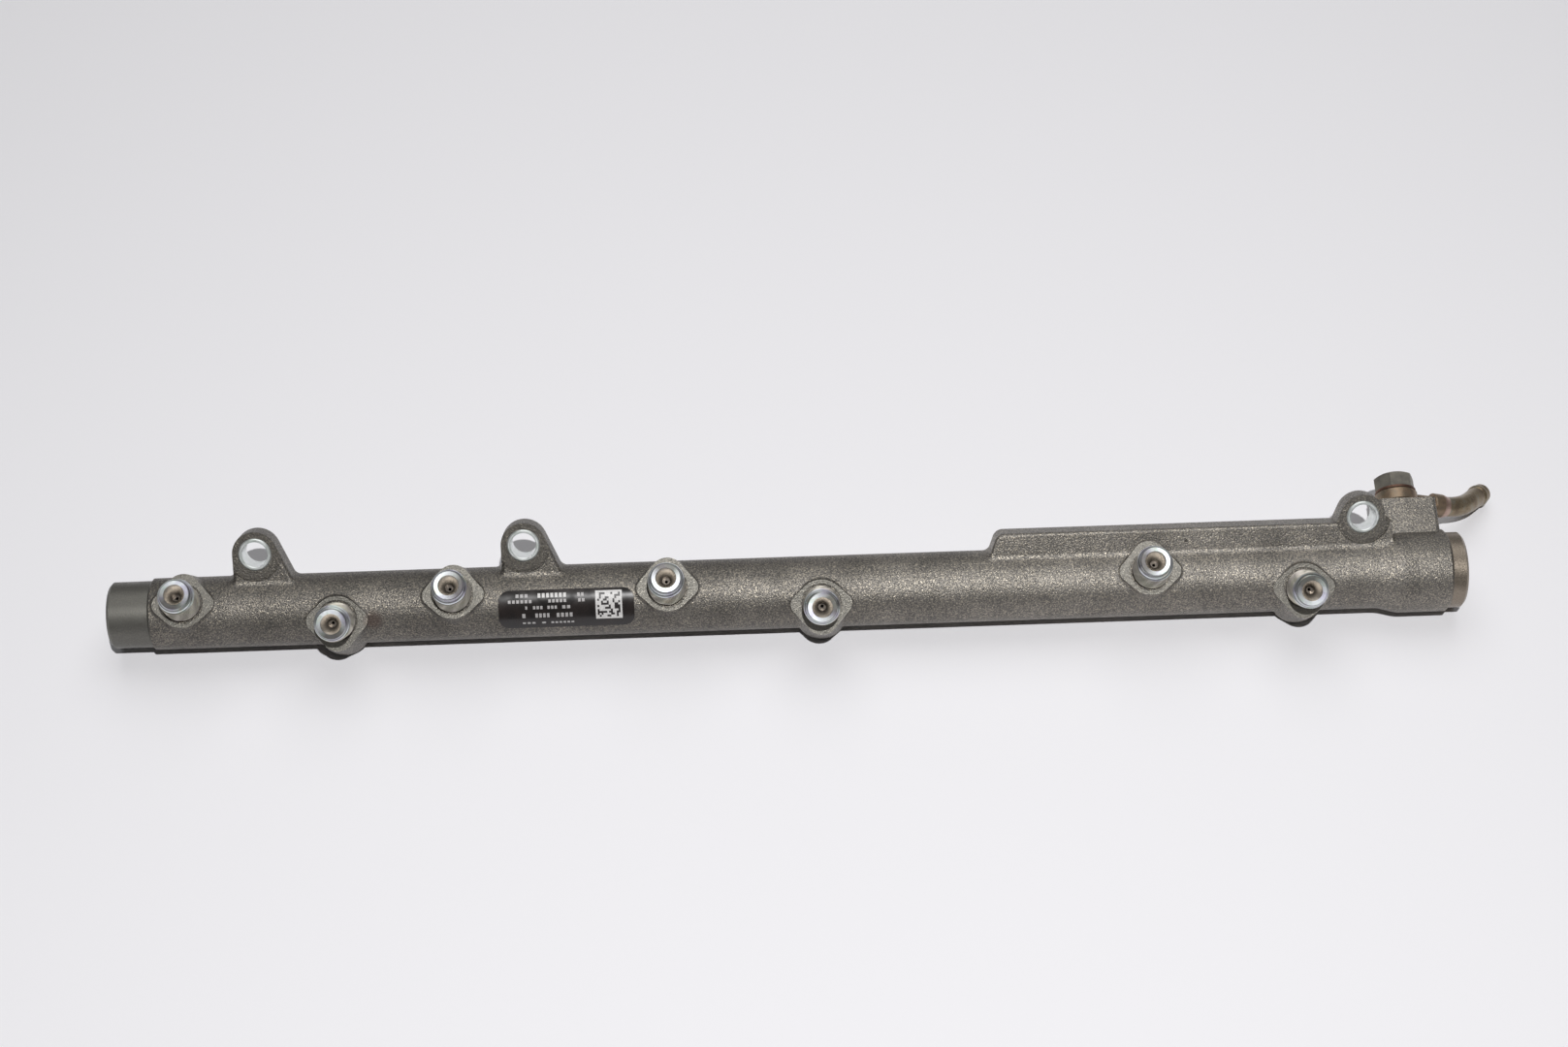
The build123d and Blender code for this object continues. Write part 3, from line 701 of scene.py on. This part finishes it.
printing = {
    "radius": 13.75,             # face of the label
    "thickness": 0.03,
    "sink": 0.012,               # how far the ink reaches into the film
    "overprint": 1.2,            # a fleck's middle is this many thicknesses above the field's foot
    "rows": [                    # clock angle, height, and the bars as (start, end) along the rail
        (22.0, 1.7, "inkWhite", [(162.2, 173.4)]),
        (22.0, 1.3, "inkGrey", [(153.9, 159.0), (177.1, 180.0)]),
        (13.0, 1.2, "inkGrey", [(151.0, 160.4), (166.2, 173.4), (177.4, 180.3)]),
        (3.0, 1.2, "inkGrey", [(157.5, 158.6), (160.4, 164.4), (165.8, 169.8), (171.3, 174.9)]),
        (-10.0, 1.7, "inkGrey", [(156.1, 157.9), (161.1, 166.9), (169.1, 175.6)]),
        (-23.0, 0.8, "inkGrey", [(156.1, 161.5), (163.3, 165.5), (166.9, 176.0)]),
    ],
    "dash": (1.55, 0.66),        # pitch along a bar, and how much of it is printed
    "field": (184.1, 194.1),
    "fieldClocks": (-19.0, 27.0),
    "cells": 12,
    "fleckShare": 0.42,
    "seed": 11,
    "slabPoints": 21,            # enough that a wide slab follows the film
    "edgeAngle": 30.0,
}


def printTree(sizes):
    # Sets a thin slab at each point, drops flecks at random and wraps the lot round the tube.
    tree = newTree("label_printing", sizes)
    given = addNode(tree, "NodeGroupInput").outputs
    fleck = addNode(tree, "GeometryNodeInputNamedAttribute", {"Name": "fleck"}, data_type="FLOAT")
    ink = addNode(tree, "GeometryNodeInputNamedAttribute", {"Name": "ink"}, data_type="FLOAT")
    size = addNode(tree, "GeometryNodeInputNamedAttribute", {"Name": "size"}, data_type="FLOAT_VECTOR")
    chance = addNode(tree, "FunctionNodeRandomValue", {"Seed": given["Seed"]}, data_type="FLOAT")
    kept = addNode(tree, "ShaderNodeMath", {0: chance, 1: given["Fleck Share"]}, operation="LESS_THAN")
    printed = addNode(tree, "ShaderNodeMath", {0: fleck.outputs["Attribute"], 1: 0.5}, operation="LESS_THAN")
    shown = addNode(tree, "ShaderNodeMath", {0: kept, 1: printed}, operation="MAXIMUM")
    slab = addNode(tree, "GeometryNodeMeshCube", {
        "Size": (1.0, 1.0, 1.0), "Vertices Y": printing["slabPoints"]})
    placed = addNode(tree, "GeometryNodeInstanceOnPoints", {
        "Points": given["Geometry"], "Selection": shown, "Instance": slab.outputs["Mesh"],
        "Scale": size.outputs["Attribute"]})
    real = addNode(tree, "GeometryNodeRealizeInstances", {0: placed})
    place = addNode(tree, "ShaderNodeSeparateXYZ", {0: addNode(tree, "GeometryNodeInputPosition")})
    x, arc, height = place.outputs
    radius = addNode(tree, "ShaderNodeMath", {0: height, 1: given["Radius"]}, operation="ADD")
    lean = addNode(tree, "ShaderNodeMath", {0: arc, 1: given["Radius"]}, operation="DIVIDE")
    sine = addNode(tree, "ShaderNodeMath", {0: lean}, operation="SINE")
    cosine = addNode(tree, "ShaderNodeMath", {0: lean}, operation="COSINE")
    wrapped = addNode(tree, "ShaderNodeCombineXYZ", {
        "X": x,
        "Y": addNode(tree, "ShaderNodeMath", {0: radius, 1: sine}, operation="MULTIPLY"),
        "Z": addNode(tree, "ShaderNodeMath", {0: radius, 1: cosine}, operation="MULTIPLY")})
    bent = addNode(tree, "GeometryNodeSetPosition", {"Geometry": real, "Position": wrapped})
    for number, name in enumerate(inks):
        chosen = addNode(tree, "ShaderNodeMath", {
            0: ink.outputs["Attribute"], 1: float(number), 2: 0.5}, operation="COMPARE")
        bent = addNode(tree, "GeometryNodeSetMaterial", {
            "Geometry": bent, "Selection": chosen, "Material": finishes[name]})
    addNode(tree, "NodeGroupOutput", {0: bent})
    return tree


def makePrinting():
    radius, thick, sink = printing["radius"], printing["thickness"], printing["sink"]
    perDegree = math.pi * radius / 180
    ground, overprint = thick / 2 - sink, thick * printing["overprint"] - sink
    inkNumber = {name: number for number, name in enumerate(inks)}
    places = []
    slabSizes = []
    inkNumbers = []
    flecks = []

    def addSlab(x, arc, lift, width, height, ink, fleck=0.0):
        places.append((x * mm, arc * mm, lift * mm))
        slabSizes.extend((width * mm, height * mm, thick * mm))
        inkNumbers.append(float(inkNumber[ink]))
        flecks.append(fleck)

    for clock, height, ink, bars in printing["rows"]:
        arc = (clock + rail["lyingRoll"]) * perDegree
        for start, end in bars:
            count = max(1, round((end - start) / printing["dash"][0]))
            pitch = (end - start) / count
            for i in range(count):
                addSlab(start + pitch * (i + 0.5), arc, ground, pitch * printing["dash"][1], height, ink)
    left, right = printing["field"]
    low, high = [(clock + rail["lyingRoll"]) * perDegree for clock in printing["fieldClocks"]]
    addSlab((left + right) / 2, (low + high) / 2, ground, right - left, high - low, "inkWhite")
    cells = printing["cells"]                  # with a margin of one more all round
    stepX, stepArc = (right - left) / (cells + 2), (high - low) / (cells + 2)
    for i in range(cells):
        for j in range(cells):
            x, arc = left + stepX * (i + 1.5), low + stepArc * (j + 1.5)
            addSlab(x, arc, overprint, stepX, stepArc, "inkBlack", 1.0)
    slabs = bpy.data.meshes.new("slabs")
    slabs.from_pydata(places, [], [])
    slabs.attributes.new("size", "FLOAT_VECTOR", "POINT").data.foreach_set("vector", slabSizes)
    slabs.attributes.new("ink", "FLOAT", "POINT").data.foreach_set("value", inkNumbers)
    slabs.attributes.new("fleck", "FLOAT", "POINT").data.foreach_set("value", flecks)
    sizes = {"Radius": radius * mm, "Fleck Share": printing["fleckShare"], "Seed": printing["seed"]}
    label = builtByTree("label_printing", slabs, printTree(sizes), sizes, printing["edgeAngle"])
    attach(label, "root")


makePrinting()
print("label printed")


view = {
    "target": (256.08, 21.30, 15.47),
    "elevation": 54.0,
    "turn": 0.603,
    "roll": 1.943,
    "distance": 1000.0,
    "lens": 60.22,
    "nearest": 10.0,
}


def placeCamera():
    lift = math.radians(view["elevation"])
    up = Vector((0, math.sin(lift), math.cos(lift)))
    turn = Quaternion(up, -math.radians(view["turn"]))
    level = turn @ Vector((1, 0, 0))
    back = turn @ Vector((0, -math.cos(lift), math.sin(lift)))
    roll = math.radians(view["roll"])
    right = level * math.cos(roll) - up * math.sin(roll)
    top = level * math.sin(roll) + up * math.cos(roll)
    target = Vector(view["target"]) * mm
    camera = bpy.data.objects.new("camera", bpy.data.cameras.new("camera"))
    bpy.context.scene.collection.objects.link(camera)
    camera.data.lens = view["lens"]
    camera.data.clip_start = view["nearest"] * mm
    turned = Matrix((right, top, back)).transposed().to_4x4()
    camera.matrix_world = Matrix.Translation(target + back * view["distance"] * mm) @ turned
    bpy.context.scene.camera = camera
    return target, right, top, back


lamps = {                        # degrees up and right of the camera's line, then metres and watts
    "flash": {"up": 11.5, "right": 3.0, "distance": 1.6, "size": 0.025, "power": 19.0},
    "softbox": {"up": 62.0, "right": 0.0, "distance": 1.5, "size": 1.6, "power": 7.6},
}
room = {
    "ambient": 0.03,             # light from the room,
    "gloss": 0.24,               # and how much brighter the room shows in metal
}


def placeLamps(target, right, top, back):
    for name, values in lamps.items():
        upwards = top * math.tan(math.radians(values["up"]))
        sideways = right * math.tan(math.radians(values["right"]))
        toLamp = (back + upwards + sideways).normalized()
        light = bpy.data.lights.new(name, "AREA")
        light.shape = "DISK"
        light.size = values["size"]
        light.energy = values["power"]
        lamp = bpy.data.objects.new(name, light)
        bpy.context.scene.collection.objects.link(lamp)
        lamp.location = target + toLamp * values["distance"]
        lamp.rotation_euler = toLamp.to_track_quat("Z", "Y").to_euler()


def makeRoom():
    world = bpy.data.worlds.new("studio")
    world.use_nodes = True
    tree = world.node_tree
    tree.nodes.clear()
    seen = addNode(tree, "ShaderNodeLightPath")
    bright = addNode(tree, "ShaderNodeMath", {
        0: seen.outputs["Is Glossy Ray"], 1: room["gloss"], 2: room["ambient"]}, operation="MULTIPLY_ADD")
    sky = addNode(tree, "ShaderNodeBackground", {"Color": (1, 1, 1, 1), "Strength": bright})
    addNode(tree, "ShaderNodeOutputWorld", {"Surface": sky})
    bpy.context.scene.world = world


table = {
    "colour": "#f4f3f6",
    "roughness": 0.9,
    "specular": 0.1,
    "alongX": (-2.5, 3.0),       # metres
    "alongY": (-2.5, 2.5),
}


def makeTable():
    # Matt white laminate, so plain that only the shadow shows on it.
    material, tree = newMaterial("table_white_laminate")
    surface = addNode(tree, "ShaderNodeBsdfPrincipled", {
        "Base Color": linearColour(table["colour"]), "Roughness": table["roughness"],
        "Specular IOR Level": table["specular"]})
    addNode(tree, "ShaderNodeOutputMaterial", {"Surface": surface})
    mesh = bpy.data.meshes.new("table")
    low = cadBox[0][2]
    (left, right), (front, rear) = table["alongX"], table["alongY"]
    corners = [(left, front, low), (right, front, low), (right, rear, low), (left, rear, low)]
    mesh.from_pydata(corners, [], [(0, 1, 2, 3)])
    mesh.materials.append(material)
    meshObject("table", mesh)


placeLamps(*placeCamera())
makeRoom()
makeTable()
bpy.context.scene.view_settings.view_transform = "Standard"
print("camera, light and table placed")
